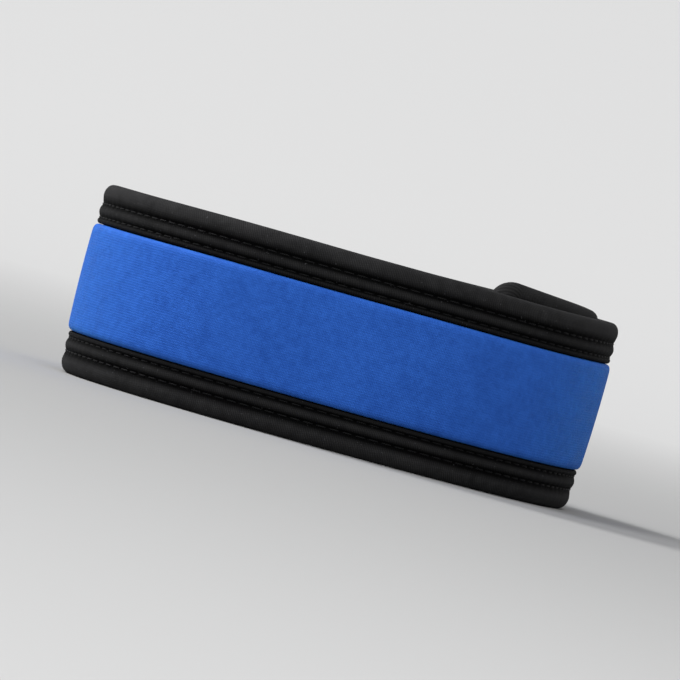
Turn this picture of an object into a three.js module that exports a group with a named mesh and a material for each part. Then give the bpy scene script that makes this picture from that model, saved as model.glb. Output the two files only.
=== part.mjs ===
// A bicep band: a padded neoprene strip, bound in black tape and faced with blue, wound a turn and a
// quarter round the upper arm and closed on itself.
// Millimetres. +Z runs up the arm, -Y faces the viewer, and the band stands on Z = 0 with its ring
// centred on the origin.

import * as THREE from "three";

// The ring
const BAND_HEIGHT = 39;
const HOLLOW_RADIUS = 47.5;
const LAYER_THICKNESS = 4;
const LAYER_GAP = 0.6;
const PIECE_GAP = 0.3;
// How much further out the top edge stands than the bottom edge, as the arm tapers to the elbow
const FLARE = 0.8;

// The winding, anticlockwise from +X as seen from above
const INNER_END_DEG = -55;
const OVERLAP_DEG = 83;
const RAMP_DEG = 45;
const STEP_DEG = 8;

// The inner end sits a little high and comes level over this length
const INNER_END_RISE = 3.2;
const RISE_LENGTH = 80;
const RISE_POWER = 1.3;

// The rounded corners at both ends of the strip
const CORNER_RADIUS = 6;
const MITRE_RADIUS = 0.4;
const CORNER_STEPS = 6;

// The binding tape: one leg on each face of the strip, joined by a fold round its edge
const TAPE_THICKNESS = 0.8;
const FOLD_THICKNESS = 0.9;
const INNER_LEG = 8.2;
const OUTER_LEG = 8.3;
const OUTER_LEG_SEAT = 3;
const EDGE_FLAT = { bottom_binding: 2, top_binding: 1 };
const FREE_EDGE_HEIGHT = 0.45;
const ARM_LEG = [
  { inset: 0.3, out: 0.4 },
  { inset: 1, out: 0.05 },
  { inset: 4.1, out: 0 },
  { inset: 7.4, out: 0.05 },
  { inset: INNER_LEG, out: 0.35 },
  { inset: INNER_LEG, out: TAPE_THICKNESS },
];
const FOLD_SHOULDER = { inset: 0.35, out: 3.45 };
// Two lines of stitching draw the outer leg down between three ridges
const STITCH_DEPTH = 0.4;
const RIDGES = [
  { from: 0, to: 4.2, crest: 4, points: 3 },
  { from: 4.2, to: 7, crest: 3.95, points: 2 },
  { from: 7, to: OUTER_LEG, crest: 3.85, points: 1 },
];

// The neoprene strip: how far its inner face lies from the arm side of the tape, by distance from the edge
const STRIP_OUTER_FACE = 2.7;
const STRIP_INNER_FACE = [
  { inset: FOLD_THICKNESS + PIECE_GAP, out: 1.1 },
  { inset: 9, out: 1.1 },
  { inset: 14, out: 0.4 },
];

// The blue panel: its height over the strip by distance from its own edge
const PANEL_PUFF = [
  { inset: 0, height: 0.5 },
  { inset: 0.6, height: 0.95 },
  { inset: 1.8, height: 1.3 },
  { inset: 4.2, height: 1.4 },
];
const PANEL_CROWN = 1.45;
const PANEL_UNDER_END = 2;

// The hook and loop fastening, hidden between the layers
const FASTENER_BOTTOM = 11.7;
const FASTENER_TOP = 30;
const FASTENER_THICKNESS = 1.7;

const LAYER_STEP = LAYER_THICKNESS + LAYER_GAP;
const INNER_MIDDLE = HOLLOW_RADIUS + LAYER_THICKNESS / 2;
const OUTER_MIDDLE = INNER_MIDDLE + LAYER_STEP;
const FULL_TURN = 2 * Math.PI;
const STEP = THREE.MathUtils.degToRad(STEP_DEG);
const INNER_END = THREE.MathUtils.degToRad(INNER_END_DEG);
const OUTER_END = INNER_END + FULL_TURN + THREE.MathUtils.degToRad(OVERLAP_DEG);
const RAMP_START = INNER_END + FULL_TURN - THREE.MathUtils.degToRad(RAMP_DEG);
const RAMP_END = INNER_END + FULL_TURN;

// How far the winding has moved out from the hollow: nothing at first, one layer once over the inner end.
function stepOut(angle) {
  return LAYER_STEP * THREE.MathUtils.smoothstep(angle, RAMP_START, RAMP_END);
}

function rise(angle) {
  const left = 1 - ((angle - INNER_END) * HOLLOW_RADIUS) / RISE_LENGTH;
  return INNER_END_RISE * Math.max(0, left) ** RISE_POWER;
}

// A point of the wound strip: `up` from its bottom edge, `out` from its arm side, at an angle round the arm.
function onStrip(angle, up, out) {
  const z = up + rise(angle);
  const radius = HOLLOW_RADIUS + stepOut(angle) + out + FLARE * (z / BAND_HEIGHT - 0.5);
  return new THREE.Vector3(radius * Math.cos(angle), radius * Math.sin(angle), z);
}

// The angles that lie a distance along the strip from each of its ends.
function fromInnerEnd(distance) {
  return INNER_END + distance / INNER_MIDDLE;
}

function fromOuterEnd(distance) {
  return OUTER_END - distance / OUTER_MIDDLE;
}

// The whole steps between two angles, leaving out any that would crowd either one.
function stepsBetween(from, to) {
  const angles = [];
  for (let turn = Math.ceil(from / STEP + 0.25); turn * STEP < to - STEP / 4; turn += 1) {
    angles.push(turn * STEP);
  }
  return angles;
}

function cornerAngles() {
  return Array.from({ length: CORNER_STEPS + 1 }, (_, step) => (step * Math.PI) / 2 / CORNER_STEPS);
}

// Carries a closed outline along its stations into one solid with flat ends. Outlines run anticlockwise
// with the first station behind them, and place turns a station and an outline's point into space.
function loft(name, material, outlines, place) {
  const count = outlines[0].length;
  const points = outlines.flatMap((outline, station) => outline.map((at) => place(station, at)));
  const triangles = [];
  for (let start = 0; start < points.length - count; start += count) {
    for (let side = 0; side < count; side += 1) {
      const next = (side + 1) % count;
      triangles.push([start + side, start + next, start + count + next]);
      triangles.push([start + side, start + count + next, start + count + side]);
    }
  }
  const last = points.length - count;
  for (const [a, b, c] of THREE.ShapeUtils.triangulateShape(outlines[0], [])) {
    triangles.push([a, c, b]);
  }
  for (const [a, b, c] of THREE.ShapeUtils.triangulateShape(outlines.at(-1), [])) {
    triangles.push([last + a, last + b, last + c]);
  }
  const geometry = new THREE.BufferGeometry().setFromPoints(points).setIndex(triangles.flat());
  geometry.computeVertexNormals();
  const mesh = new THREE.Mesh(geometry, material);
  mesh.name = name;
  return mesh;
}

// The tape's section, across its width and through the strip's thickness.
function tapeOutline(edgeFlat) {
  const middle = LAYER_THICKNESS / 2;
  const slot = [
    { inset: FOLD_THICKNESS, out: TAPE_THICKNESS },
    { inset: FOLD_THICKNESS, out: OUTER_LEG_SEAT },
    { inset: OUTER_LEG, out: OUTER_LEG_SEAT },
    { inset: OUTER_LEG, out: OUTER_LEG_SEAT + FREE_EDGE_HEIGHT },
  ];
  const ridges = RIDGES.toReversed().flatMap(({ from, to, crest, points }) => {
    const humps = Array.from({ length: points }, (_, step) => {
      const share = 1 - (step + 1) / (points + 1);
      return {
        inset: from + share * (to - from),
        out: crest - STITCH_DEPTH * (2 * share - 1) ** 2,
      };
    });
    return from > 0 ? [...humps, { inset: from, out: crest - STITCH_DEPTH }] : humps;
  });
  const around = [
    { inset: 0, out: middle - edgeFlat / 2 },
    ...ARM_LEG,
    ...slot,
    ...ridges,
    FOLD_SHOULDER,
    { inset: 0, out: middle + edgeFlat / 2 },
  ];
  return around.map(({ inset, out }) => new THREE.Vector2(inset, out));
}

// One tape runs from the middle of the inner end, round its corner, along a long edge, round the other
// corner and to the middle of the outer end. At every inset the corner keeps the same centre until its
// radius is used up, so that the tape's free edge is mitred. The two tapes meet at the ends.
function binding(name) {
  const top = name === "top_binding";
  const endJoin = (BAND_HEIGHT - PIECE_GAP) / 2;
  const clear = OUTER_LEG + 2 * MITRE_RADIUS;
  const corner = (turn, fromEnd) => (inset) => {
    const radius = Math.max(CORNER_RADIUS - inset, MITRE_RADIUS);
    const along = inset + radius * (1 - Math.cos(turn));
    return { angle: fromEnd(along), up: inset + radius * (1 - Math.sin(turn)) };
  };
  const join = (fromEnd) => (inset) => ({ angle: fromEnd(inset), up: endJoin });
  const straight = [fromInnerEnd(clear), ...stepsBetween(fromInnerEnd(clear), fromOuterEnd(clear))];
  const stations = [
    join(fromInnerEnd),
    ...cornerAngles().map((turn) => corner(turn, fromInnerEnd)),
    ...[...straight, fromOuterEnd(clear)].map((angle) => (inset) => ({ angle, up: inset })),
    ...cornerAngles().map((turn) => corner(turn, fromOuterEnd)).reverse(),
    join(fromOuterEnd),
  ];
  if (top) {
    stations.reverse();
  }
  const outline = tapeOutline(EDGE_FLAT[name]);
  return loft(name, blackTape, stations.map(() => outline), (station, at) => {
    const { angle, up } = stations[station](at.x);
    return onStrip(angle, top ? BAND_HEIGHT - up : up, at.y);
  });
}

// The strip's edge lies just inside the fold of the tapes, round both corners of each end, and its inner
// face swells towards the arm between them.
function neopreneStrip() {
  const [edge, ...swell] = STRIP_INNER_FACE;
  const radius = CORNER_RADIUS - edge.inset;
  const columns = (fromEnd) => [
    ...cornerAngles().map((turn) => ({
      angle: fromEnd(edge.inset + radius * (1 - Math.cos(turn))),
      low: edge.inset + radius * (1 - Math.sin(turn)),
      deep: 0,
    })),
    ...swell.map(({ inset }, step) => ({ angle: fromEnd(inset), low: edge.inset, deep: step + 1 })),
  ];
  const inner = columns(fromInnerEnd);
  const outer = columns(fromOuterEnd).reverse();
  const between = stepsBetween(inner.at(-1).angle, outer[0].angle).map((angle) => ({
    angle,
    low: edge.inset,
    deep: swell.length,
  }));
  const stations = [...inner, ...between, ...outer];
  const outlines = stations.map(({ low, deep }) => {
    const rows = STRIP_INNER_FACE.map(({ inset }, row) => ({
      up: row === 0 ? low : inset,
      out: STRIP_INNER_FACE[Math.min(row, deep)].out,
    }));
    const mirrored = rows.toReversed().map(({ up, out }) => ({ up: BAND_HEIGHT - up, out }));
    return [
      ...[...rows, ...mirrored].map(({ up, out }) => new THREE.Vector2(up, out)),
      new THREE.Vector2(BAND_HEIGHT - low, STRIP_OUTER_FACE),
      new THREE.Vector2(low, STRIP_OUTER_FACE),
    ];
  });
  return loft("neoprene_strip", blackNeoprene, outlines, (station, at) =>
    onStrip(stations[station].angle, at.x, at.y),
  );
}

// The panel lies on the strip between the tapes, from just under the outer end round to the outer end,
// with its crown falling away to a soft shoulder on every side.
function bluePanel() {
  const inset = OUTER_LEG + PIECE_GAP;
  const seat = STRIP_OUTER_FACE + PIECE_GAP;
  const start = OUTER_END - FULL_TURN - PANEL_UNDER_END / INNER_MIDDLE;
  const end = fromOuterEnd(inset);
  const starts = PANEL_PUFF.map((row, deep) => ({ angle: start + row.inset / INNER_MIDDLE, deep }));
  const ends = PANEL_PUFF.map((row, deep) => ({ angle: end - row.inset / OUTER_MIDDLE, deep }));
  const between = stepsBetween(starts.at(-1).angle, ends.at(-1).angle).map((angle) => ({
    angle,
    deep: PANEL_PUFF.length,
  }));
  const stations = [...starts, ...between, ...ends.reverse()];
  const heights = [...PANEL_PUFF.map(({ height }) => height), PANEL_CROWN];
  const outlines = stations.map(({ deep }) => {
    const rows = PANEL_PUFF.map((row, step) => ({
      up: inset + row.inset,
      out: seat + heights[Math.min(step, deep)],
    }));
    const crown = { up: BAND_HEIGHT / 2, out: seat + heights[deep] };
    const mirrored = rows.map(({ up, out }) => ({ up: BAND_HEIGHT - up, out }));
    const face = [...mirrored, crown, ...rows.reverse()];
    return [
      new THREE.Vector2(inset, seat),
      new THREE.Vector2(BAND_HEIGHT - inset, seat),
      ...face.map(({ up, out }) => new THREE.Vector2(up, out)),
    ];
  });
  return loft("blue_panel", blueKnit, outlines, (station, at) =>
    onStrip(stations[station].angle, at.x, at.y),
  );
}

// One plain curved pad stands for the hook tape and the loop tape pressed together.
function hookAndLoop() {
  const seat = STRIP_OUTER_FACE + PIECE_GAP;
  const clear = OUTER_LEG + 2 * MITRE_RADIUS;
  const from = fromInnerEnd(clear);
  const to = fromOuterEnd(clear) - FULL_TURN;
  const angles = [from, ...stepsBetween(from, to), to];
  const outline = [
    new THREE.Vector2(FASTENER_BOTTOM, seat),
    new THREE.Vector2(FASTENER_TOP, seat),
    new THREE.Vector2(FASTENER_TOP, seat + FASTENER_THICKNESS),
    new THREE.Vector2(FASTENER_BOTTOM, seat + FASTENER_THICKNESS),
  ];
  return loft("hook_and_loop", blackHookTape, angles.map(() => outline), (station, at) =>
    onStrip(angles[station], at.x - rise(angles[station]), at.y),
  );
}

const blackTape = new THREE.MeshStandardMaterial({ color: 0x26272a, roughness: 0.72, metalness: 0 });
const blackNeoprene = new THREE.MeshStandardMaterial({ color: 0x1b1c1f, roughness: 0.85, metalness: 0 });
const blackHookTape = new THREE.MeshStandardMaterial({ color: 0x141416, roughness: 0.9, metalness: 0 });
const blueKnit = new THREE.MeshStandardMaterial({ color: 0x2a57af, roughness: 0.75, metalness: 0 });

const band = new THREE.Group();
band.add(neopreneStrip(), bluePanel(), binding("bottom_binding"), binding("top_binding"), hookAndLoop());
const middle = new THREE.Box3().setFromObject(band).getCenter(new THREE.Vector3());
band.position.set(-middle.x, -middle.y, 0);

export default band;
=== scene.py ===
# %% [markdown]
# # A padded bicep band
#
# The band is a strip of black neoprene with a blue knit panel on its outer face. Black tape is folded
# over the whole edge and sewn down with two lines of stitching, which leave three soft ridges. The
# strip is wound a turn and a quarter round the upper arm, and hook and loop tape between the two layers
# holds it closed.
#
# A maker cuts and sews such a band flat, so this lesson draws every piece flat too, in millimetres:
# `run` along the strip from its inner end, `up` from its lower edge and `out` from its arm side. One
# function then winds any flat piece round the arm. That keeps the pieces in step with each other,
# which modelling each one round the ring would not.

import math

import bpy
import numpy as np
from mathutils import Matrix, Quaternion, Vector


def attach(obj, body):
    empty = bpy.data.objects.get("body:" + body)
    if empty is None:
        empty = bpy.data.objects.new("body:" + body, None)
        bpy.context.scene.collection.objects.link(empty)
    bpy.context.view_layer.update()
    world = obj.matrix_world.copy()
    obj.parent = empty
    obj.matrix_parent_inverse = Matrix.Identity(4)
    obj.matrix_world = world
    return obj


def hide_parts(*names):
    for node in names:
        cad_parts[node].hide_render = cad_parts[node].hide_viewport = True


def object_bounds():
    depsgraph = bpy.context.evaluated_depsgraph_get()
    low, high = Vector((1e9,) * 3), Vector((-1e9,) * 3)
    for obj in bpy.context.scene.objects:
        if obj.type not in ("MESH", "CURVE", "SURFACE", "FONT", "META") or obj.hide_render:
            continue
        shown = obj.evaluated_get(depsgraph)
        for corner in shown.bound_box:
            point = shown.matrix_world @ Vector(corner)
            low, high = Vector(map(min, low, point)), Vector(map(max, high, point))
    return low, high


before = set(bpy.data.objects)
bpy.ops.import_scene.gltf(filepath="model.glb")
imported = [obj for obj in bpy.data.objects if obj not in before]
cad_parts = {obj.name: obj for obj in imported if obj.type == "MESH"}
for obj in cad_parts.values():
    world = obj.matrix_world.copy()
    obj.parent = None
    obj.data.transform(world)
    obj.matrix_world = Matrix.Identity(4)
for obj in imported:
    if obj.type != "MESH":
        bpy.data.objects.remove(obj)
cad_low, cad_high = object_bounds()
band_middle = (cad_low + cad_high) / 2
print("nodes:", ", ".join(sorted(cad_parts)))
print("CAD box in mm:", [round(1000 * x, 1) for x in (*cad_low, *cad_high)])

# %% [markdown]
# ## Camera
#
# The photograph looks at the band almost edge on, from about 1.6 m, and the band tilts down to the
# right. A long lens from the real distance keeps the photograph's flat perspective, and rolling the
# camera gives the tilt while the band itself stands level on the floor.

# %% Camera at the photograph's angle
CAMERA_DISTANCE = 1.63
CAMERA_ELEVATION = math.radians(0.7)
CAMERA_ROLL = math.radians(15.5)
PICTURE_WIDTH = 0.138
SENSOR_MM = 36

to_camera = Vector((0, -math.cos(CAMERA_ELEVATION), math.sin(CAMERA_ELEVATION)))
camera_data = bpy.data.cameras.new("camera")
camera_data.sensor_width = SENSOR_MM
camera_data.lens = SENSOR_MM * CAMERA_DISTANCE / PICTURE_WIDTH
camera = bpy.data.objects.new("camera", camera_data)
camera.location = band_middle + to_camera * CAMERA_DISTANCE
camera.rotation_mode = "QUATERNION"
camera.rotation_quaternion = (-to_camera).to_track_quat("-Z", "Y") @ Quaternion((0, 0, 1), CAMERA_ROLL)
bpy.context.scene.collection.objects.link(camera)
bpy.context.scene.camera = camera
print("lens", round(camera_data.lens), "mm")

# %% [markdown]
# ## Winding the strip
#
# The strip starts at its inner end, goes once round against the arm, climbs one layer in a short
# ramp and lies on itself. A spiral of constant pitch would be simpler, but it would lift the
# whole band off the arm. So the radius stays constant and changes only on the ramp, by a smooth step.
# Cloth is never quite even, so a few slow waves are added, the same ones in both layers so that they
# still nest.

# %% The winding
BAND_HEIGHT = 39.0
HOLLOW_RADIUS = 47.5
LAYER_THICKNESS = 4.0
LAYER_STEP = 4.6
FLARE = 0.8
INNER_END = math.radians(-55)
OUTER_END = INNER_END + math.radians(360 + 83)
RAMP = math.radians(45)
RAMP_START = INNER_END + 2 * math.pi - RAMP
INNER_END_RISE = 3.2
RISE_LENGTH = 80.0
RISE_POWER = 1.3
WAVE_OUT = 0.16
WAVE_UP = 0.22
MM = 0.001

random = np.random.default_rng(11)
WAVE_COUNTS = np.arange(2, 8)
OUT_PHASES = random.uniform(0, 2 * math.pi, len(WAVE_COUNTS))
UP_PHASES = random.uniform(0, 2 * math.pi, len(WAVE_COUNTS))


def step_out(angle):
    """One layer times 3t^2 - 2t^3, where t goes from 0 to 1 along the ramp."""
    t = np.clip((angle - RAMP_START) / RAMP, 0, 1)
    return LAYER_STEP * t * t * (3 - 2 * t)


def slow_waves(angle, phases):
    """A sum of sines that go a whole number of times round the ring, each divided by its number."""
    return (np.sin(np.multiply.outer(angle, WAVE_COUNTS) + phases) / WAVE_COUNTS).sum(-1)


ANGLES = np.linspace(INNER_END, OUTER_END, 4001)
MIDDLE_RADII = HOLLOW_RADIUS + LAYER_THICKNESS / 2 + step_out(ANGLES)
RUNS = np.concatenate([[0], np.cumsum((MIDDLE_RADII[1:] + MIDDLE_RADII[:-1]) / 2 * np.diff(ANGLES))])
STRIP_LENGTH = RUNS[-1]
OUTER_FACE = MIDDLE_RADII + LAYER_THICKNESS / 2
PLAN = np.stack([OUTER_FACE * np.cos(ANGLES), OUTER_FACE * np.sin(ANGLES)], -1)
RING_CENTRE = np.array(band_middle[:2]) - (PLAN.min(0) + PLAN.max(0)) / 2 * MM


def angle_at(run):
    """The angle round the arm where the strip's mid line has run that far."""
    return np.interp(run, RUNS, ANGLES)


def rise_at(angle):
    """The inner end's lift times (1 - distance / length) to a power, and nothing past that length."""
    left = 1 - (angle - INNER_END) * HOLLOW_RADIUS / RISE_LENGTH
    return INNER_END_RISE * np.maximum(left, 0) ** RISE_POWER


def wound(flat):
    """Points (run, up, out) carried round the arm, in metres: the radius is the hollow's plus the layer,
    plus out, plus a flare that grows with height, and the height is up plus the inner end's rise."""
    run, up, out = np.moveaxis(np.asarray(flat, float), -1, 0)
    angle = angle_at(run)
    height = up + rise_at(angle)
    radius = HOLLOW_RADIUS + step_out(angle) + out + FLARE * (height / BAND_HEIGHT - 0.5)
    radius = radius + WAVE_OUT * slow_waves(angle, OUT_PHASES)
    height = height + WAVE_UP * slow_waves(angle, UP_PHASES) * np.clip(up / BAND_HEIGHT, 0, 1)
    x = RING_CENTRE[0] + radius * np.cos(angle) * MM
    y = RING_CENTRE[1] + radius * np.sin(angle) * MM
    return np.stack([x, y, np.maximum(height, 0) * MM], -1)


print("the strip is", round(STRIP_LENGTH, 1), "mm long, and the ring's centre is at", RING_CENTRE)

# %% [markdown]
# ## From numbers to a mesh
#
# Every piece is a grid of points: rows along the strip by columns round its section. A grid whose
# first and last columns are joined is a tube, and one whose rows are joined as well is a closed loop
# like a ring. Blender's own primitives have no such sections, and drawing the faces by hand would
# need thousands of clicks, so the faces come from the grid's row and column numbers.

# %% Grids into meshes
CLOTH_MAP = "cloth"


def grid_corners(rows, columns, joined_rows):
    """For every cell, its four corners as (row, column), counting on past the end where the grid joins
    itself: a cell goes along the section first, then along the strip."""
    steps = rows if joined_rows else rows - 1
    row, column = np.meshgrid(np.arange(steps), np.arange(columns), indexing="ij")
    along = np.stack([row, row, row + 1, row + 1], -1)
    across = np.stack([column, column + 1, column + 1, column], -1)
    return along.reshape(-1, 4), across.reshape(-1, 4)


def new_piece(name, points, faces, cloth_uv=None, relief=None):
    """A mesh object from points in metres, quads as point numbers, the cloth's own coordinates in
    millimetres at each quad's corners, and a value at each point that is 1 on crests and 0 in grooves."""
    mesh = bpy.data.meshes.new(name)
    mesh.from_pydata(points.reshape(-1, 3), [], faces.tolist())
    if cloth_uv is not None:
        layer = mesh.uv_layers.new(name=CLOTH_MAP)
        layer.data.foreach_set("uv", cloth_uv.astype(np.float32).ravel())
    if relief is not None:
        layer = mesh.attributes.new("relief", "FLOAT", "POINT")
        layer.data.foreach_set("value", relief.astype(np.float32).ravel())
    mesh.shade_smooth()
    mesh.validate()
    piece = bpy.data.objects.new(name, mesh)
    bpy.context.scene.collection.objects.link(piece)
    print(name, len(mesh.vertices), "points,", len(mesh.polygons), "faces")
    return piece


# %% [markdown]
# ## The path of the edge tape
#
# One tape goes right round the strip: along the lower edge, round the corner of the outer end, back
# along the upper edge and round the inner end. Every thread of the tape keeps its own distance from
# the edge, its inset, and so follows its own rounded rectangle. The corners share one centre until
# the radius is used up, and past that the tape is mitred.

# %% Rounded rectangles at any inset
CORNER_RADIUS = 6.0
MITRE_RADIUS = 0.2
STITCH_ROWS = (4.2, 7.0)
SIDES = 4


def corner_radius(inset):
    """The outer radius less the inset, down to the mitre."""
    return np.maximum(CORNER_RADIUS - inset, MITRE_RADIUS)


# The path has a straight and a corner for each side, measured along the first row of stitches.
STRAIGHTS = np.array([STRIP_LENGTH, BAND_HEIGHT] * 2) - 2 * CORNER_RADIUS
ARC = corner_radius(STITCH_ROWS[0]) * math.pi / 2
LENGTHS = np.stack([STRAIGHTS, np.full(SIDES, ARC)], -1).ravel()
MARKS = np.concatenate([[0], np.cumsum(LENGTHS)])


def edge_frame(along):
    """At distances along the path: which side, whether it is that side's corner, the share of that
    stretch, and the direction out of the strip as an angle, which turns a quarter at each corner."""
    along = np.mod(along, MARKS[-1])
    stretch = np.clip(np.searchsorted(MARKS, along, side="right") - 1, 0, 2 * SIDES - 1)
    share = (along - MARKS[stretch]) / LENGTHS[stretch]
    side = stretch // 2
    in_corner = stretch % 2 == 1
    facing = (side - 1 + np.where(in_corner, share, 0)) * math.pi / 2
    return side, in_corner, share, facing


def on_edge(along, inset):
    """The flat point (run, up) at a distance along the path and an inset: from one corner's centre to
    the next by the share of the side, then out by the corner's radius in the facing direction."""
    side, in_corner, share, facing = edge_frame(along)
    radius = corner_radius(inset)
    centre = inset + radius
    right = np.isin(side, (1, 2))
    top = np.isin(side, (2, 3))
    next_right = np.isin(side, (0, 1))
    next_top = np.isin(side, (1, 2))
    share = np.where(in_corner, 1, share)
    run_from = np.where(right, STRIP_LENGTH - centre, centre)
    run_to = np.where(next_right, STRIP_LENGTH - centre, centre)
    up_from = np.where(top, BAND_HEIGHT - centre, centre)
    up_to = np.where(next_top, BAND_HEIGHT - centre, centre)
    run = run_from + (run_to - run_from) * share + radius * np.cos(facing)
    up = up_from + (up_to - up_from) * share + radius * np.sin(facing)
    return run, up


print("the tape is", round(MARKS[-1]), "mm long on its first row of stitches")

# %% [markdown]
# ## Stitches first, because they shape the tape
#
# A sewing machine puts a whole number of stitches on each side and turns with the needle down in the
# corner. The tape is pulled in at every needle hole and puffs up between them. So the count of
# stitches is worked out along the path before the tape is drawn, and both use it.

# %% Counting the stitches
STITCH_PITCH = 2.6
CORNER_MIDDLES = MARKS[1::2] + ARC / 2
SIDE_LENGTHS = np.diff(np.concatenate([[CORNER_MIDDLES[-1] - MARKS[-1]], CORNER_MIDDLES]))
SIDE_STITCHES = np.round(SIDE_LENGTHS / STITCH_PITCH)
STITCHES = int(SIDE_STITCHES.sum())
NEEDLE_TURNS = np.concatenate([[CORNER_MIDDLES[-1] - MARKS[-1]], CORNER_MIDDLES])
NEEDLE_COUNTS = np.concatenate([[0], np.cumsum(SIDE_STITCHES)])


def stitch_count(along):
    """How many stitches lie before a distance along the path. It is whole at each needle hole."""
    wrapped = np.where(along > NEEDLE_TURNS[-1], along - MARKS[-1], along)
    return np.interp(wrapped, NEEDLE_TURNS, NEEDLE_COUNTS)


def along_at(count):
    """The distance along the path of a stitch count, the inverse of stitch_count."""
    return np.interp(count, NEEDLE_COUNTS, NEEDLE_TURNS)


print(STITCHES, "stitches a row, on the four sides", SIDE_STITCHES.astype(int).tolist())

# %% [markdown]
# ## The tape's section
#
# Cut across, the tape is a U. Its outer leg is drawn down by the two rows of stitches into three
# ridges, the first and fattest rolled over the edge. Its arm-side leg is flatter. The section is a
# short table of ridges and a formula for their shape, so that a ridge can be moved or fattened by
# changing one number.

# %% The section
TAPE_THICKNESS = 0.8
OUTER_SEAT = 2.45
ARM_LEG = 8.2
OUTER_LEG = 8.3
FOLD_MIDDLE = 2.0
# wear_and_light is how light each ridge's crest is painted: partly rubbed nap, partly painted highlight. A
# lower value leaves painted shade on the crest.
RIDGES = [
    {"start": 0.0, "end": 4.2, "crest": 3.88, "wear_and_light": 1.0},
    {"start": 4.2, "end": 7.0, "crest": 3.98, "wear_and_light": 0.9},
    {"start": 7.0, "end": OUTER_LEG, "crest": 3.88, "wear_and_light": 0.7},
]
GROOVE_OUT = 3.48
GROOVE_SHARPNESS = 1.7
ARM_GROOVE_DEPTH = 0.3
ARM_GROOVE_WIDTH = 0.45
ARM_LEG_ROUNDING = 0.15
ROLL_WIDTH = 2.4
ARM_ROLL_WIDTH = 1.5
ROLL_SQUARENESS = 2.1
REST_PRESS = 0.09


def quarter_roll(share, squareness):
    """A superellipse's quarter: at a share of its width, how far up its height it has come."""
    return (1 - (1 - share) ** squareness) ** (1 / squareness)


def ridge_line(ridge, share):
    """A ridge at shares of its width as (inset, out, relief). Its swell is 1 - |2t - 1| to a power,
    where t is the share. Out goes up by the swell from the groove to the crest, and the relief is the
    swell times the ridge's wear_and_light, which sets how light its crest is painted and how much painted
    shade it keeps."""
    inset = ridge["start"] + share * (ridge["end"] - ridge["start"])
    swell = 1 - np.abs(2 * share - 1) ** GROOVE_SHARPNESS
    return np.stack([inset, GROOVE_OUT + (ridge["crest"] - GROOVE_OUT) * swell, ridge["wear_and_light"] * swell], -1)


def arm_side_line():
    """The arm-side leg as (inset, out, relief), with a bell-shaped dip at each row of stitches."""
    inset = np.linspace(ARM_LEG - ARM_LEG_ROUNDING, ARM_ROLL_WIDTH, 20)
    dips = sum(np.exp(-(((inset - row) / ARM_GROOVE_WIDTH) ** 2)) for row in STITCH_ROWS)
    # The relief falls towards 0 at the stitch rows, where the tape's finish paints shade into the grooves.
    return np.stack([inset, ARM_GROOVE_DEPTH * dips, 1 - np.minimum(dips, 1)], -1)


def fold_line():
    """Two quarter rolls from the arm side up to the first crest, meeting at the fold's middle."""
    turn = np.linspace(0, math.pi / 2, 7)[1:]
    arm_share = 1 - np.sin(turn)
    arm_out = FOLD_MIDDLE * (1 - quarter_roll(arm_share, ROLL_SQUARENESS))
    outer_share = 1 - np.cos(turn)
    rise = quarter_roll(outer_share, ROLL_SQUARENESS)
    outer_out = FOLD_MIDDLE + (RIDGES[0]["crest"] - FOLD_MIDDLE) * rise
    inset = np.concatenate([ARM_ROLL_WIDTH * arm_share, ROLL_WIDTH * outer_share])
    return np.stack([inset, np.concatenate([arm_out, outer_out]), np.ones_like(inset)], -1)


def tape_section():
    """Points (inset, out, relief) once round the tape: in along the arm side, round the fold, out over
    the three ridges, round the free edge and back along the hidden inside of the U."""
    first = ridge_line(RIDGES[0], np.array([0.65, 0.76, 0.86, 0.94, 1]))
    second = ridge_line(RIDGES[1], np.array([0.1, 0.22, 0.36, 0.5, 0.64, 0.78, 0.9, 1]))
    third = ridge_line(RIDGES[2], np.array([0.15, 0.35, 0.55, 0.7]))
    hidden = [
        [OUTER_LEG - 0.3, 3.76, 0.7],
        [OUTER_LEG - 0.1, 3.55, 0.4],
        [OUTER_LEG, 3.25, 0],
        [OUTER_LEG - 0.1, OUTER_SEAT, 0],
        [4.0, OUTER_SEAT, 0],
        [1.2, OUTER_SEAT - 0.05, 0],
        [0.92, 2.1, 0],
        [0.92, 1.4, 0],
        [1.2, TAPE_THICKNESS + 0.05, 0],
        [4.0, TAPE_THICKNESS + 0.1, 0],
        [ARM_LEG - ARM_LEG_ROUNDING, TAPE_THICKNESS, 0],
        [ARM_LEG, 0.4, 0.5],
    ]
    return np.concatenate([arm_side_line(), fold_line(), first, second, third, hidden])


SECTION = tape_section()
SECTION_STEPS = np.linalg.norm(np.diff(SECTION[:, :2], axis=0, append=SECTION[:1, :2]), axis=1)
SECTION_ROUND = np.concatenate([[0], np.cumsum(SECTION_STEPS)])
print(len(SECTION), "points round a section of", round(SECTION_ROUND[-1], 1), "mm")

# %% [markdown]
# ## The tape itself
#
# The section is carried along the path. Each of its points goes to its own inset's rounded
# rectangle, is pulled in near the needle holes, and is then wound with the strip. Where the band
# rests on its lower edge the fold is pressed flat.

# %% Carrying the section along the path
TAPE_STEP = 0.53
CORNER_STATIONS = 13
PUCKER = 0.075
PUCKER_WIDTH = 0.9
PUCKER_EVERYWHERE = 0.25


def stretch_stations():
    """Distances along the path: even steps on each straight, and a fixed number on each corner."""
    stations = []
    for start, length, is_corner in zip(MARKS[:-1], LENGTHS, [False, True] * SIDES):
        count = CORNER_STATIONS if is_corner else int(round(length / TAPE_STEP))
        stations.append(start + length * np.arange(count) / count)
    return np.concatenate(stations)


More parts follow.
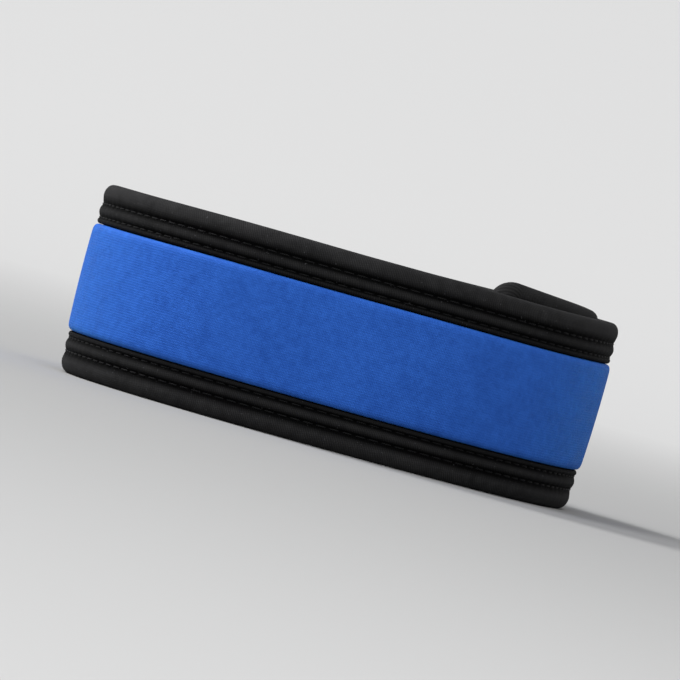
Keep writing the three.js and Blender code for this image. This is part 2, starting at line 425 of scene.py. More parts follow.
def pucker(along, inset, out):
    """How far the stitching pulls the tape in: largest at each needle hole and nothing half way to the
    next, by a cosine, and fading with distance from the rows of stitches."""
    near = sum(np.exp(-(((inset - row) / PUCKER_WIDTH) ** 2)) for row in STITCH_ROWS)
    beat = 0.5 + 0.5 * np.cos(2 * math.pi * stitch_count(along))
    side = np.where(out > OUTER_SEAT, -1.0, np.where(out < TAPE_THICKNESS / 2, 1.0, 0.0))
    return side * PUCKER * beat * (PUCKER_EVERYWHERE + near)


def build_edge_tape():
    """The section at every station of the path. A point's inset gives its place on the flat strip, and
    its out plus the pucker gives its depth. Along the lower edge the inset is less by the rest's press,
    fading over the width of the roll."""
    along = stretch_stations()[:, None]
    inset, out, relief = (SECTION[None, :, column] for column in range(3))
    pressed = inset - REST_PRESS * (1 - np.clip(inset / ARM_ROLL_WIDTH, 0, 1))
    run, up = on_edge(along, inset)
    side, in_corner, _, _ = edge_frame(along)
    lower_edge = (side == 0) & ~in_corner
    up = np.where(lower_edge, up + pressed - inset, up)
    depth = out + pucker(along, inset, out)
    points = wound(np.stack(np.broadcast_arrays(run, up, depth), -1))
    rows, columns = points.shape[:2]
    row, column = (corner[:, ::-1] for corner in grid_corners(rows, columns, joined_rows=True))
    faces = row % rows * columns + column % columns
    cloth_uv = np.stack([np.append(along[:, 0], MARKS[-1])[row], SECTION_ROUND[column]], -1)
    return new_piece("edge_tape", points, faces, cloth_uv, np.broadcast_to(relief, (rows, columns)))


edge_tape = build_edge_tape()

# %% [markdown]
# ## Threads
#
# Each stitch is a short round thread that comes up out of one needle hole and dives into the next.
# It is one small tube with six sides, and numpy makes all of them at once: an array of stitches by
# rings by sides. An instance on every hole would do too, but the tubes have to bend with the path.

# %% Sewing
THREAD_RADIUS = 0.17
THREAD_SIDES = 6
THREAD_RINGS = 7
THREAD_REACH = 0.9
THREAD_PROUD = 0.55
THREAD_DIVE = 0.34
THREAD_TAPER = 0.45


def thread_faces(stitches):
    """Quads between neighbouring rings of each stitch, and two quads to close each of its ends."""
    ring, side = np.meshgrid(np.arange(THREAD_RINGS - 1), np.arange(THREAD_SIDES), indexing="ij")
    after = (side + 1) % THREAD_SIDES
    here = ring * THREAD_SIDES
    there = here + THREAD_SIDES
    walls = np.stack([here + side, here + after, there + after, there + side], -1)
    first_end = np.array([[3, 2, 1, 0], [5, 4, 3, 0]])
    last_end = np.array([[0, 1, 2, 3], [0, 3, 4, 5]]) + (THREAD_RINGS - 1) * THREAD_SIDES
    one = np.concatenate([walls.reshape(-1, 4), first_end, last_end])
    return (np.arange(stitches)[:, None, None] * THREAD_RINGS * THREAD_SIDES + one).reshape(-1, 4)


def sew(name, groove_out, outwards):
    """Two rows of stitches in the grooves of one face. Along a stitch t goes from -1 to 1. The thread's
    middle follows the path, stands a little out of the groove and dives by t to the fourth power, and
    each ring is a circle of the thread's radius, narrowed near the ends."""
    t = np.linspace(-1, 1, THREAD_RINGS)
    turn = np.arange(THREAD_SIDES) * 2 * math.pi / THREAD_SIDES
    count = np.arange(STITCHES)[:, None] + 0.5 + t * THREAD_REACH / 2
    along = along_at(count)[None, :, :, None]
    inset = np.array(STITCH_ROWS)[:, None, None, None]
    radius = (THREAD_RADIUS * (1 - THREAD_TAPER * t**6))[None, None, :, None]
    lift = (THREAD_RADIUS * THREAD_PROUD - THREAD_DIVE * t**4)[None, None, :, None]
    sideways = inset + radius * np.cos(turn)
    out = groove_out + outwards * lift + radius * np.sin(turn)
    run, up = on_edge(along, sideways)
    points = wound(np.stack(np.broadcast_arrays(run, up, out), -1))
    total = len(STITCH_ROWS) * STITCHES
    faces = thread_faces(total)
    lengths = np.broadcast_to((count * STITCH_PITCH)[None, :, :, None], points.shape[:-1])
    rounds = np.broadcast_to(turn / (2 * math.pi), points.shape[:-1])
    cloth_uv = np.stack([lengths, rounds], -1).reshape(-1, 2)[faces]
    return new_piece(name, points, faces, cloth_uv)


outer_stitches = sew("outer_stitches", GROOVE_OUT - PUCKER / 2, 1)
arm_side_stitches = sew("arm_side_stitches", ARM_GROOVE_DEPTH + PUCKER / 2, -1)

# %% [markdown]
# ## Pads
#
# The blue panel and the neoprene strip are foam faced with knit. Each is a closed flat pad: a face, a
# back with the same number of points, and a narrow wall between them all round. The pad is laid out
# with its points close together near its edges, where the foam is squeezed under the tape and comes
# up in a soft shoulder, and further apart on the broad middle.

# %% A flat pad
SHOULDER_POINTS = np.array([0, 0.12, 0.32, 0.62, 1.05, 1.65, 2.45, 3.5])


def spaced(start, end, near_edge, step):
    """Points from start to end: near_edge's distances at both ends and even steps between them."""
    inner = np.arange(1, round((end - start - 2 * near_edge[-1]) / step))
    inner = start + near_edge[-1] + inner * (end - start - 2 * near_edge[-1]) / (len(inner) + 1)
    return np.concatenate([start + near_edge, inner, end - near_edge[::-1]])


def edge_distance(run, up, run_ends, up_ends):
    """The distance to the nearest of the four sides of a rectangle."""
    lengthwise = np.minimum(run - run_ends[0], run_ends[1] - run)
    crosswise = np.minimum(up - up_ends[0], up_ends[1] - up)
    return np.minimum(lengthwise, crosswise)


def pad_faces(rows, across):
    """A loop of face and back points along every row, joined into a tube, and a wall of quads between
    face and back at both ends."""
    columns = 2 * across
    row, column = grid_corners(rows, columns, joined_rows=False)
    sides = row * columns + column % columns
    near = np.arange(across - 1)
    far = columns - 1 - near
    start = np.stack([near, far, far - 1, near + 1], -1)
    last = (rows - 1) * columns
    end = np.stack([near, near + 1, far - 1, far], -1) + last
    return np.concatenate([sides, start, end])


def build_pad(name, run, up, face_out, back_out):
    """A closed pad from grids of run and up with the out of its face and of its back. Faces come out
    pointing away from the foam whichever of the two lies further from the arm."""
    face = np.stack([run, up, face_out], -1)
    back = np.stack([run, up, back_out], -1)
    if face_out.mean() > back_out.mean():
        loop = np.concatenate([back, face[:, ::-1]], 1)
    else:
        loop = np.concatenate([face, back[:, ::-1]], 1)
    faces = pad_faces(*run.shape)
    flat_uv = loop[..., :2].reshape(-1, 2)
    return new_piece(name, wound(loop), faces, flat_uv[faces])


# %% [markdown]
# ## Letting the foam swell
#
# Foam that is sewn down along its edges swells in the middle. Blender's cloth simulation does that
# well: the pad's face is laid out flat, its edges are held, and pressure pushes the rest out. Cloth
# settings are made for garments and cushions, so the face is simulated at twenty times its size and
# shrunk back. Real foam gives much less than free cloth, so the whole swelling is then scaled down
# until its highest point stands at the height that the foam has.

# %% The simulation
SIMULATION_SCALE = 20 * MM
SIMULATION_FRAMES = 20


def swollen(run, up, out, held, outwards, pressure, crown):
    """The out of a sheet after cloth pressure. held marks the points that stay put and outwards is 1
    or -1. The movement is multiplied by crown / its largest, so that no point moves more than
    crown."""
    rows, columns = run.shape
    flat = np.stack([run, up, out * outwards], -1) * SIMULATION_SCALE
    row, column = np.meshgrid(np.arange(rows - 1), np.arange(columns - 1), indexing="ij")
    corner = (row * columns + column).reshape(-1)
    faces = np.stack([corner, corner + columns, corner + columns + 1, corner + 1], -1)
    mesh = bpy.data.meshes.new("swelling")
    mesh.from_pydata(flat.reshape(-1, 3), [], faces.tolist())
    sheet = bpy.data.objects.new("swelling", mesh)
    bpy.context.scene.collection.objects.link(sheet)
    sheet.vertex_groups.new(name="held").add(np.flatnonzero(held).tolist(), 1.0, "REPLACE")
    cloth = sheet.modifiers.new("swell", "CLOTH")
    cloth.settings.vertex_group_mass = "held"
    cloth.settings.use_pressure = True
    cloth.settings.uniform_pressure_force = pressure
    cloth.settings.effector_weights.gravity = 0
    cloth.point_cache.frame_end = SIMULATION_FRAMES
    for number in range(1, SIMULATION_FRAMES + 1):
        bpy.context.scene.frame_set(number)
    settled = sheet.evaluated_get(bpy.context.evaluated_depsgraph_get()).data
    moved = np.empty(len(settled.vertices) * 3, np.float32)
    settled.vertices.foreach_get("co", moved)
    grown = moved.reshape(rows, columns, 3)[..., 2] / SIMULATION_SCALE * outwards
    bpy.context.scene.frame_set(1)
    bpy.data.objects.remove(sheet)
    largest = np.abs(grown - out).max()
    print("swelling: largest", round(float(largest), 2), "mm, scaled to", round(crown, 2), "mm")
    return out + (grown - out) * min(1, crown / largest)


# %% [markdown]
# ## The blue panel
#
# The panel starts just under the outer end, where the overlap hides it, and goes once round to the
# tape of the outer end. It comes up beside the tape's free edge in a round shoulder, which catches the
# light as a bright line along the top, and from there the foam swells to a low crown. The stitches
# pucker its long edges very slightly. A solid box with bevelled edges would look like board instead.

# %% Building the panel
PANEL_INSET = 8.36
PANEL_SEAT = 3.0
PANEL_EDGE = 0.3
PANEL_SHOULDER = 1.35
SHOULDER_WIDTH = 1.5
SHOULDER_SQUARENESS = 2.2
PANEL_CROWN = 1.5
PANEL_PRESSURE = 3.0
PANEL_STEP_ALONG = STITCH_PITCH / 2
PANEL_STEP_UP = 1.3
PANEL_UNDER_END = 2.0
PANEL_PUCKER = 0.035
PANEL_PUCKER_WIDTH = 1.3
PANEL_PUCKER_START = 0.3
HELD_EDGE = 0.01


def build_panel():
    """A rectangle of points lifted by a quarter roll up the shoulder. The pucker is a cosine, one beat a
    stitch, that fades by an exponential of the distance from the edge, and the swelling comes on top."""
    start_angle = OUTER_END - 2 * math.pi - PANEL_UNDER_END / (HOLLOW_RADIUS + LAYER_THICKNESS / 2)
    run_ends = (np.interp(start_angle, ANGLES, RUNS), STRIP_LENGTH - PANEL_INSET)
    up_ends = (PANEL_INSET, BAND_HEIGHT - PANEL_INSET)
    run, up = np.meshgrid(
        spaced(*run_ends, SHOULDER_POINTS, PANEL_STEP_ALONG),
        spaced(*up_ends, SHOULDER_POINTS, PANEL_STEP_UP),
        indexing="ij",
    )
    depth = edge_distance(run, up, run_ends, up_ends)
    shoulder = quarter_roll(np.clip(depth / SHOULDER_WIDTH, 0, 1), SHOULDER_SQUARENESS)
    lift = PANEL_EDGE + (PANEL_SHOULDER - PANEL_EDGE) * shoulder
    beat = np.cos(2 * math.pi * (run - run_ends[0]) / STITCH_PITCH)
    fade = np.exp(-depth / PANEL_PUCKER_WIDTH) * np.clip(depth / PANEL_PUCKER_START, 0, 1)
    lift = lift + PANEL_PUCKER * beat * fade
    held = depth < HELD_EDGE
    face = swollen(run, up, PANEL_SEAT + lift, held, 1, PANEL_PRESSURE, PANEL_CROWN - PANEL_SHOULDER)
    return build_pad("panel_foam", run, up, face, np.full_like(run, PANEL_SEAT))


panel_foam = build_panel()

# %% [markdown]
# ## The neoprene strip
#
# The strip runs the whole length inside the tape, thin where the stitching squeezes it. Between the
# tape's arm-side legs it swells towards the arm, and that soft black face is what the wearer feels
# and what shows when one looks into the ring. Its ends are rounded to fit the tape's corners.

# %% Building the strip
STRIP_INSET = 1.2
STRIP_FACE = 1.08
STRIP_SWOLLEN = 0.45
STRIP_CROWN = 0.25
STRIP_PRESSURE = 2.0
SWELL_WIDTH = 3.6
SWELL_SQUARENESS = 2.5
STRIP_BACK = 2.94
STRIP_UNDER_TAPE = 2.35
BACK_RAMP = 0.7
STRIP_STEP = 1.5
STRIP_EDGE_POINTS = np.array([0, 1.8, 4.5, 7.0, 7.3, 7.6, 8.1, 8.8, 9.7, 10.8])


def build_strip():
    """A rectangle of points squeezed towards its middle at both ends by a quarter circle. From the
    tape's leg inwards the face swells towards the arm by 1 - (1 - t) to a power, and the cloth's
    swelling comes on top. The back steps up by a short ramp where the outer leg ends."""
    run_ends = (STRIP_INSET, STRIP_LENGTH - STRIP_INSET)
    up_ends = (STRIP_INSET, BAND_HEIGHT - STRIP_INSET)
    radius = CORNER_RADIUS - STRIP_INSET
    rounding = radius * (1 - np.cos(np.linspace(0, math.pi / 2, 7)))
    near_ends = np.concatenate([rounding, STRIP_EDGE_POINTS[STRIP_EDGE_POINTS > radius + 0.5]])
    run, up = np.meshgrid(
        spaced(*run_ends, near_ends, STRIP_STEP),
        spaced(*up_ends, STRIP_EDGE_POINTS, STRIP_STEP),
        indexing="ij",
    )
    depth = edge_distance(run, up, run_ends, up_ends)
    from_end = np.minimum(run - run_ends[0], run_ends[1] - run)
    shortfall = radius - np.sqrt(np.maximum(radius**2 - np.maximum(radius - from_end, 0) ** 2, 0))
    centre = BAND_HEIGHT / 2
    squeeze = (centre - STRIP_INSET - shortfall) / (centre - STRIP_INSET)
    up = centre + (up - centre) * squeeze
    free = depth - (ARM_LEG - STRIP_INSET)
    swell = 1 - (1 - np.clip(free / SWELL_WIDTH, 0, 1)) ** SWELL_SQUARENESS
    face = STRIP_FACE - (STRIP_FACE - STRIP_SWOLLEN - STRIP_CROWN) * swell
    face = swollen(run, up, face, free < HELD_EDGE, -1, STRIP_PRESSURE, STRIP_CROWN)
    rise = np.clip((depth + STRIP_INSET - OUTER_LEG) / BACK_RAMP, 0, 1)
    back = STRIP_UNDER_TAPE + (STRIP_BACK - STRIP_UNDER_TAPE) * rise
    return build_pad("strip_foam", run, up, face, back)


strip_foam = build_strip()

# %% [markdown]
# ## Hook and loop
#
# A patch of hooks on the outer layer grips a patch of loops on the inner one. Pressed together they
# are one pad, hidden between the layers, so it is drawn simply: a flat pad with a slightly ragged
# nap.

# %% Building the fastening
FASTENER_ENDS = 9.4
FASTENER_LOW = 11.7
FASTENER_HIGH = 30.0
FASTENER_SEAT = 3.0
FASTENER_THICKNESS = 1.65
FASTENER_EDGE_POINTS = np.array([0, 0.25, 0.6])
FASTENER_STEP = 0.9
NAP = 0.03


def build_fastening():
    """A rectangle of points that stays level, so the inner end's rise is taken off its up. Both faces
    are flat less the nap, which is the size of a random number at each point."""
    overlap_end = np.interp(OUTER_END - 2 * math.pi, ANGLES, RUNS)
    run_ends = (FASTENER_ENDS, overlap_end - FASTENER_ENDS)
    run, height = np.meshgrid(
        spaced(*run_ends, FASTENER_EDGE_POINTS, FASTENER_STEP),
        spaced(FASTENER_LOW, FASTENER_HIGH, FASTENER_EDGE_POINTS, FASTENER_STEP),
        indexing="ij",
    )
    up = height - rise_at(angle_at(run))
    nap = NAP * random.standard_normal((2, *run.shape))
    back = FASTENER_SEAT + np.abs(nap[0])
    face = FASTENER_SEAT + FASTENER_THICKNESS - np.abs(nap[1])
    return build_pad("fastening_pad", run, up, face, back)


fastening_pad = build_fastening()

# %% [markdown]
# ## Finishes
#
# Every finish is worked out by nodes. The knit, the tape's weave and the thread's twist follow the
# cloth, so they read the flat coordinates that each piece carries, in millimetres. Mottling and dust
# don't follow the threads, so they read the object's own space. Sheen is what makes cloth look like
# cloth at its edges: fibres that stand up catch the light there.

# %% A small kit for node finishes


class Finish:
    """A material while it is being wired. Each method adds one node and returns what comes out."""

    def __init__(self, name, **surface):
        self.material = bpy.data.materials.new(name)
        self.material.use_nodes = True
        self.tree = self.material.node_tree
        self.shader = self.tree.nodes["Principled BSDF"]
        for socket, value in surface.items():
            self.shader.inputs[socket.replace("_", " ")].default_value = value
        cloth = self.tree.nodes.new("ShaderNodeUVMap")
        cloth.uv_map = CLOTH_MAP
        split = self.tree.nodes.new("ShaderNodeSeparateXYZ")
        self.tree.links.new(cloth.outputs[0], split.inputs[0])
        self.along, self.across = split.outputs[0], split.outputs[1]
        self.space = self.tree.nodes.new("ShaderNodeTexCoord").outputs["Object"]

    def wire(self, socket, value):
        """Joins a socket to what comes out of a node, or sets it to a plain value."""
        if isinstance(value, bpy.types.NodeSocket):
            self.tree.links.new(value, socket)
        else:
            socket.default_value = value

    def math(self, operation, *values):
        """One step of arithmetic, named as Blender names it."""
        node = self.tree.nodes.new("ShaderNodeMath")
        node.operation = operation
        for socket, value in zip(node.inputs, values):
            self.wire(socket, value)
        return node.outputs[0]

    def spread(self, value, low, high, to_low=0.0, to_high=1.0):
        """value taken from the range low to high into to_low to to_high, and held there."""
        node = self.tree.nodes.new("ShaderNodeMapRange")
        for socket, given in zip(node.inputs, (value, low, high, to_low, to_high)):
            self.wire(socket, given)
        return node.outputs[0]

    def noise(self, size_mm, detail=2.0, where=None):
        """Noise whose lumps are about size_mm across, in the object's space or in that of where."""
        node = self.tree.nodes.new("ShaderNodeTexNoise")
        self.wire(node.inputs["Vector"], self.space if where is None else where)
        node.inputs["Scale"].default_value = 1 / (size_mm * (MM if where is None else 1))
        node.inputs["Detail"].default_value = detail
        return node.outputs[0]

    def wave(self, value):
        """A sine that rises and falls once for each whole step of value, between 0 and 1."""
        sine = self.math("SINE", self.math("MULTIPLY", value, 2 * math.pi))
        return self.math("MULTIPLY_ADD", sine, 0.5, 0.5)

    def slant(self, per_along, per_across):
        """A wave that runs along the cloth and across it by so many steps a millimetre."""
        steps = self.math("MULTIPLY", self.along, per_along)
        return self.wave(self.math("MULTIPLY_ADD", self.across, per_across, steps))

    def blend(self, factor, first, second):
        """The first colour where factor is 0, the second where it is 1, and a mix between."""
        node = self.tree.nodes.new("ShaderNodeMix")
        node.data_type = "RGBA"
        self.wire(node.inputs["Factor"], factor)
        self.wire(node.inputs[6], (*first, 1) if isinstance(first, tuple) else first)
        self.wire(node.inputs[7], (*second, 1) if isinstance(second, tuple) else second)
        return node.outputs[2]

    def relief(self):
        """The piece's own value, 1 on crests and 0 in grooves."""
        node = self.tree.nodes.new("ShaderNodeAttribute")
        node.attribute_name = "relief"
        return node.outputs["Fac"]

    def finish(self, colour, roughness, height, depth_mm):
        """Wires colour, roughness and a bump whose full height is depth_mm."""
        bump = self.tree.nodes.new("ShaderNodeBump")
        bump.inputs["Distance"].default_value = depth_mm * MM
        self.wire(bump.inputs["Height"], height)
        self.wire(self.shader.inputs["Base Color"], colour)
        self.wire(self.shader.inputs["Roughness"], roughness)
        self.wire(self.shader.inputs["Normal"], bump.outputs[0])
        return self.material


# %% [markdown]
# ### Knit
#
# Jersey is columns of V-shaped loops. Across a column the yarn shows as two legs, which a sine of
# twice the column gives, and along it the loops stack, so a second sine runs along the column and is
# shifted by the distance from the column's middle. That shift is what draws the V.

# %% Blue knit and black knit
BLUE_COLUMN = 0.62
BLUE_LOOP = 0.5
BLUE_DEEP = (0.018, 0.084, 0.397)
BLUE_BRIGHT = (0.034, 0.143, 0.592)
BLUE_PAINTED_LOOP_SHADE = (0.011, 0.058, 0.31)
LINING_COLUMN = 0.7
LINING_LOOP = 0.56
LINING_DARK = (0.010, 0.010, 0.012)
LINING_LIGHT = (0.017, 0.017, 0.019)
LINING_PAINTED_LOOP_SHADE = (0.005, 0.005, 0.006)


def knit_height(cloth, column_mm, loop_mm):
    """Two legs a column times a stack of V-shaped loops along it."""
    column = cloth.math("DIVIDE", cloth.along, column_mm)
    from_middle = cloth.math("ABSOLUTE", cloth.math("MULTIPLY_ADD", cloth.math("FRACT", column), 2.0, -1.0))
    loops = cloth.math("DIVIDE", cloth.across, loop_mm)
    stacked = cloth.wave(cloth.math("MULTIPLY_ADD", from_middle, 0.55, loops))
    legs = cloth.math("POWER", cloth.wave(cloth.math("MULTIPLY_ADD", column, 2.0, -0.25)), 0.6)
    return cloth.math("MULTIPLY", legs, cloth.math("MULTIPLY_ADD", stacked, 0.6, 0.4))


def blue_knit():
    """Three sizes of noise mix a deep and a bright blue, and painted shade darkens the gaps between the
    loops.
    The bump is the knit, with fine fuzz and the flecks on top."""
    cloth = Finish(
        "blue_knit",
        Sheen_Weight=0.09,
        Sheen_Roughness=0.3,
        Sheen_Tint=(0.15, 1.0, 1.0, 1),
        Specular_IOR_Level=0.035,
    )
    height = knit_height(cloth, BLUE_COLUMN, BLUE_LOOP)
    mottle = cloth.spread(cloth.noise(5.5, 4.0), 0.32, 0.68)
    flecks = cloth.spread(cloth.noise(1.5, 2.0), 0.34, 0.66)
    heather = cloth.spread(cloth.noise(0.42, 2.0), 0.3, 0.7)
    tone = cloth.math("MULTIPLY_ADD", heather, 0.3, cloth.math("MULTIPLY", mottle, 0.35))
    tone = cloth.math("MULTIPLY_ADD", flecks, 0.35, tone)
    colour = cloth.blend(tone, BLUE_DEEP, BLUE_BRIGHT)
    # Painted shade: the blue darkens where the knit is low, between the loops.
    colour = cloth.blend(cloth.spread(height, 0.0, 0.7, 0.45, 0.0), colour, BLUE_PAINTED_LOOP_SHADE)
    roughness = cloth.spread(mottle, 0.0, 1.0, 0.58, 0.72)
    surface = cloth.math("MULTIPLY_ADD", cloth.noise(0.16, 1.0), 0.3, height)
    surface = cloth.math("MULTIPLY_ADD", flecks, 0.6, surface)
    return cloth.finish(colour, roughness, surface, 0.07)


def black_knit():
    """Broad noise mixes two near blacks, and painted shade darkens the gaps between the loops."""
    cloth = Finish(
        "black_knit",
        Sheen_Weight=0.08,
        Sheen_Roughness=0.4,
        Sheen_Tint=(0.9, 0.93, 1.0, 1),
        Specular_IOR_Level=0.08,
    )
    height = knit_height(cloth, LINING_COLUMN, LINING_LOOP)
    mottle = cloth.spread(cloth.noise(7.0, 4.0), 0.3, 0.7)
    colour = cloth.blend(mottle, LINING_DARK, LINING_LIGHT)
    # Painted shade: the lining darkens where the knit is low, between the loops.
    colour = cloth.blend(cloth.spread(height, 0.0, 0.8, 0.5, 0.0), colour, LINING_PAINTED_LOOP_SHADE)
    roughness = cloth.spread(mottle, 0.0, 1.0, 0.72, 0.86)
    surface = cloth.math("MULTIPLY_ADD", cloth.noise(0.18, 1.0), 0.3, height)
    return cloth.finish(colour, roughness, surface, 0.08)


# %% [markdown]
# ### Tape, thread and hook tape
#
# The tape is a fine twill: slanting ribs crossed by short gaps, with painted shade between the ribs. Its
# ridges are what hands rub, so the nap is a little greyer on the crests, which is partly rub and partly a
# painted highlight, and painted shade darkens the grooves between them. Lint sits in a few places. The
# thread is a few plies twisted together, which a sine along and round the tube gives. The fastening is a
# field of tiny hooks.

# %% Tape, thread and hook tape
TAPE_DARK = (0.0175, 0.0175, 0.018)
TAPE_LIGHT = (0.0255, 0.025, 0.0255)
TAPE_RUBBED_AND_HIGHLIT = (0.037, 0.037, 0.038)
TAPE_PAINTED_RIB_SHADE = (0.007, 0.007, 0.0075)
TAPE_PAINTED_GROOVE_SHADE = (0.001, 0.001, 0.0011)
LINT = (0.09, 0.09, 0.095)
THREAD_SHADE = (0.002, 0.002, 0.0022)
THREAD_LIGHT = (0.009, 0.009, 0.0095)
HOOKS_SHADE = (0.004, 0.004, 0.005)
HOOKS_LIGHT = (0.018, 0.018, 0.02)


def black_tape():
    """Slanting ribs times gaps that cross them. The colour is mottled, greyer on the crests, where they are
    rubbed and carry a painted highlight, has painted shade between the ribs and the darkest painted shade
    in the grooves, and is pale at a few specks of lint."""
    cloth = Finish(
        "black_tape",
        Sheen_Weight=0.004,
        Sheen_Roughness=0.35,
        Sheen_Tint=(0.9, 0.93, 1.0, 1),
        Specular_IOR_Level=0.01,
    )
    ribs = cloth.slant(2.1, 1.1)
    gaps = cloth.slant(-0.9, 2.6)
    weave = cloth.math("MULTIPLY", ribs, cloth.math("MULTIPLY_ADD", gaps, 0.45, 0.55))
    crest = cloth.relief()
    rubbed_and_highlit = cloth.math("MULTIPLY", crest, cloth.spread(cloth.noise(2.2, 4.0), 0.35, 0.7))
    mottle = cloth.spread(cloth.noise(9.0, 3.0), 0.3, 0.7)
    colour = cloth.blend(mottle, TAPE_DARK, TAPE_LIGHT)
    # Rubbed nap and painted highlight: the crests are greyer where the relief is high.
    colour = cloth.blend(cloth.math("MULTIPLY", rubbed_and_highlit, 0.55), colour, TAPE_RUBBED_AND_HIGHLIT)
    # Painted shade between the ribs of the weave, where the weave is low.
    colour = cloth.blend(cloth.spread(weave, 0.0, 0.8, 0.5, 0.0), colour, TAPE_PAINTED_RIB_SHADE)
    # Painted shade: the tape turns nearly black where the relief is low, in the grooves.
    colour = cloth.blend(cloth.spread(crest, 0.4, 1.0, 0.95, 0.0), colour, TAPE_PAINTED_GROOVE_SHADE)
    lint = cloth.spread(cloth.noise(0.5, 1.0), 0.72, 0.78, 0.0, 0.35)
    colour = cloth.blend(lint, colour, LINT)
    roughness = cloth.spread(rubbed_and_highlit, 0.0, 1.0, 0.6, 0.75)
    surface = cloth.math("MULTIPLY_ADD", cloth.noise(0.2, 1.0), 0.25, weave)
    return cloth.finish(colour, roughness, surface, 0.06)


def black_thread():
    """A wave that runs along the thread and round it, light on each ply and dark between them."""
    cloth = Finish(
        "black_thread",
        Sheen_Weight=0.015,
        Sheen_Roughness=0.35,
        Specular_IOR_Level=0.04,
    )
    twist = cloth.slant(2.4, 2.0)
    fibre = cloth.noise(0.12, 2.0)
    colour = cloth.blend(cloth.spread(twist, 0.0, 0.7), THREAD_SHADE, THREAD_LIGHT)
    roughness = cloth.spread(fibre, 0.3, 0.7, 0.45, 0.62)
    return cloth.finish(colour, roughness, cloth.math("MULTIPLY_ADD", fibre, 0.3, twist), 0.04)


def black_hook_tape():
    """A wave along times a wave across, which makes a field of points, with fuzz added."""
    cloth = Finish("black_hook_tape", Sheen_Weight=0.2, Sheen_Roughness=0.6, Specular_IOR_Level=0.12)
    hooks = cloth.math("MULTIPLY", cloth.slant(1.1, 0.0), cloth.slant(0.0, 1.0))
    fuzz = cloth.noise(0.3, 4.0)
    colour = cloth.blend(cloth.math("MULTIPLY", hooks, fuzz), HOOKS_SHADE, HOOKS_LIGHT)
    roughness = cloth.spread(fuzz, 0.3, 0.7, 0.8, 0.95)
    return cloth.finish(colour, roughness, cloth.math("ADD", hooks, fuzz), 0.15)


# %% [markdown]
# ## Dressing the band
#
# Each piece gets its finish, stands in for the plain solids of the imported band, and rides on the
# band's one body. The foam pads get one level of subdivision, so that their shoulders are round.
# Before it is folded the tape is as wide as half the way round its section, and as long as its path.

# %% Finishes and bodies
for piece in (panel_foam, strip_foam):
    round_off = piece.modifiers.new("round_off", "SUBSURF")
    round_off.levels = 1
    round_off.render_levels = 1

thread = black_thread()
WARDROBE = [
    (panel_foam, blue_knit(), "blue_knit", ["blue_panel"]),
    (strip_foam, black_knit(), "black_neoprene", ["neoprene_strip"]),
    (edge_tape, black_tape(), "black_tape", ["top_binding", "bottom_binding"]),
    (outer_stitches, thread, "black_tape", []),
    (arm_side_stitches, thread, "black_tape", []),
    (fastening_pad, black_hook_tape(), "black_hook_tape", ["hook_and_loop"]),
]
for piece, finish, slot, nodes in WARDROBE:
    piece.data.materials.append(finish)
    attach(piece, "root")
    if nodes:
        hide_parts(*nodes)

print(len(WARDROBE), "pieces dressed")

# %% [markdown]
# ## Floor and light
#
# A pale sweep is a floor that curves up into a wall, so that no horizon shows. This one goes all the
# way round, like a shallow bowl, so that the band can be looked at from every side. Three large soft
# boxes above the camera, the strongest at the left, light it as the photograph's studio does. A bright
# one behind at the left gives the band its light left end, and a faint one behind at the right keeps
# the other end from going dull. Their strengths were set by comparing the colours of the render with
# the photograph's.

# %% The sweep
FLOOR_RADIUS = 1.4
SWEEP_RADIUS = 1.0
WALL_HEIGHT = 2.6
SWEEP_MIDDLE = 0.05
SWEEP_COLUMNS = 96
FLOOR_DROP = 0.0001
PAPER_GREY = 0.28
GLOW_DISTANCE = 1.8
WALL_GLOW = 0.48
SKY = 0.25


def build_sweep():
    """A profile turned round the vertical: flat, then a quarter circle, then straight up."""
    flat = np.linspace(SWEEP_MIDDLE, FLOOR_RADIUS, 8)
    bend = np.linspace(0, math.pi / 2, 17)[1:]
    wall_radius = FLOOR_RADIUS + SWEEP_RADIUS
    radius = np.concatenate([flat, FLOOR_RADIUS + SWEEP_RADIUS * np.sin(bend), [wall_radius]])
    height = np.concatenate([flat * 0, SWEEP_RADIUS * (1 - np.cos(bend)), [WALL_HEIGHT]]) - FLOOR_DROP
    turn = np.linspace(0, 2 * math.pi, SWEEP_COLUMNS + 1)[:-1]
    points = np.stack(
        [
            np.multiply.outer(radius, np.cos(turn)),
            np.multiply.outer(radius, np.sin(turn)),
            np.repeat(height[:, None], len(turn), 1),
        ],
        -1,
    )
    row, column = grid_corners(*points.shape[:2], joined_rows=False)
    faces = row * len(turn) + column % len(turn)
    mesh = bpy.data.meshes.new("sweep")
    mesh.from_pydata(points.reshape(-1, 3), [], [*faces[:, ::-1].tolist(), list(range(len(turn)))])
    mesh.shade_smooth()
    sweep = bpy.data.objects.new("sweep", mesh)
    bpy.context.scene.collection.objects.link(sweep)
    return sweep


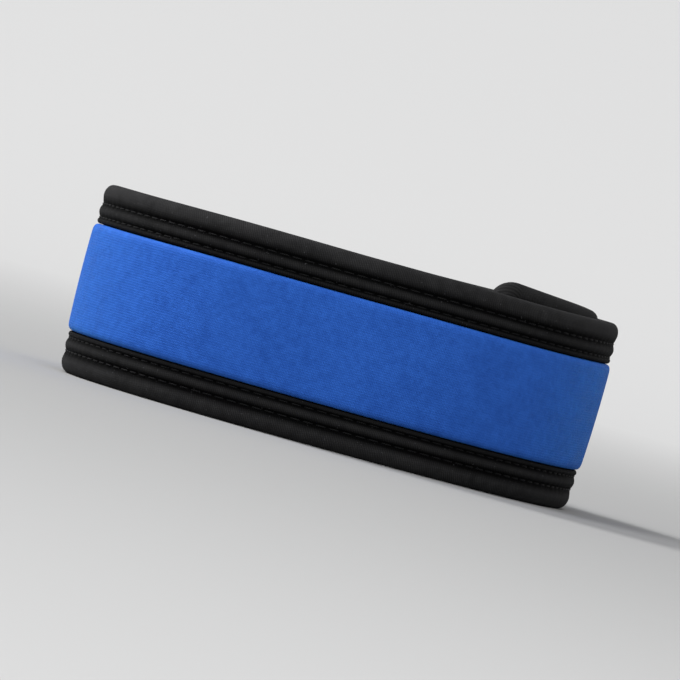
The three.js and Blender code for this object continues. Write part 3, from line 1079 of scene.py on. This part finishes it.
def pale_paper():
    """Matt paper that glows more the further it is from the band, because the lights reach it less."""
    material = bpy.data.materials.new("pale_paper")
    material.use_nodes = True
    tree = material.node_tree
    shader = tree.nodes["Principled BSDF"]
    shader.inputs["Base Color"].default_value = (PAPER_GREY, PAPER_GREY, PAPER_GREY, 1)
    shader.inputs["Roughness"].default_value = 0.9
    shader.inputs["Specular IOR Level"].default_value = 0.1
    shader.inputs["Emission Color"].default_value = (1, 1, 1, 1)
    distance = tree.nodes.new("ShaderNodeVectorMath")
    distance.operation = "LENGTH"
    tree.links.new(tree.nodes.new("ShaderNodeTexCoord").outputs["Object"], distance.inputs[0])
    glow = tree.nodes.new("ShaderNodeMapRange")
    glow.interpolation_type = "SMOOTHSTEP"
    glow.inputs["From Max"].default_value = GLOW_DISTANCE
    glow.inputs["To Max"].default_value = WALL_GLOW
    tree.links.new(distance.outputs["Value"], glow.inputs["Value"])
    tree.links.new(glow.outputs[0], shader.inputs["Emission Strength"])
    return material


sweep = build_sweep()
sweep.data.materials.append(pale_paper())
print("the sweep has", len(sweep.data.polygons), "faces")

# %% Soft boxes
SOFT_BOXES = [
    {"name": "key", "azimuth": -55, "elevation": 54, "distance": 1.8, "size": 0.7, "watts": 15.2},
    {"name": "front", "azimuth": 6, "elevation": 54, "distance": 1.9, "size": 0.7, "watts": 10.8},
    {"name": "fill", "azimuth": 24, "elevation": 54, "distance": 2.0, "size": 0.8, "watts": 1.7},
    {"name": "left_rim", "azimuth": -112, "elevation": 38, "distance": 1.6, "size": 0.5, "watts": 26.0},
    {"name": "right_rim", "azimuth": 140, "elevation": 25, "distance": 1.6, "size": 0.5, "watts": 0.5},
]
for box in SOFT_BOXES:
    azimuth = math.radians(box["azimuth"])
    elevation = math.radians(box["elevation"])
    outwards = Vector(
        (
            math.sin(azimuth) * math.cos(elevation),
            -math.cos(azimuth) * math.cos(elevation),
            math.sin(elevation),
        )
    )
    light = bpy.data.lights.new(box["name"], "AREA")
    light.size = box["size"]
    light.energy = box["watts"]
    lamp = bpy.data.objects.new(box["name"], light)
    lamp.location = band_middle + outwards * box["distance"]
    lamp.rotation_mode = "QUATERNION"
    lamp.rotation_quaternion = (-outwards).to_track_quat("-Z", "Y")
    lamp.visible_camera = False
    bpy.context.scene.collection.objects.link(lamp)

world = bpy.data.worlds.new("studio")
world.use_nodes = True
world.node_tree.nodes["Background"].inputs["Color"].default_value = (0.93, 0.96, 1.0, 1)
world.node_tree.nodes["Background"].inputs["Strength"].default_value = SKY
bpy.context.scene.world = world
bpy.context.scene.view_settings.view_transform = "Standard"
print(len(SOFT_BOXES), "soft boxes")
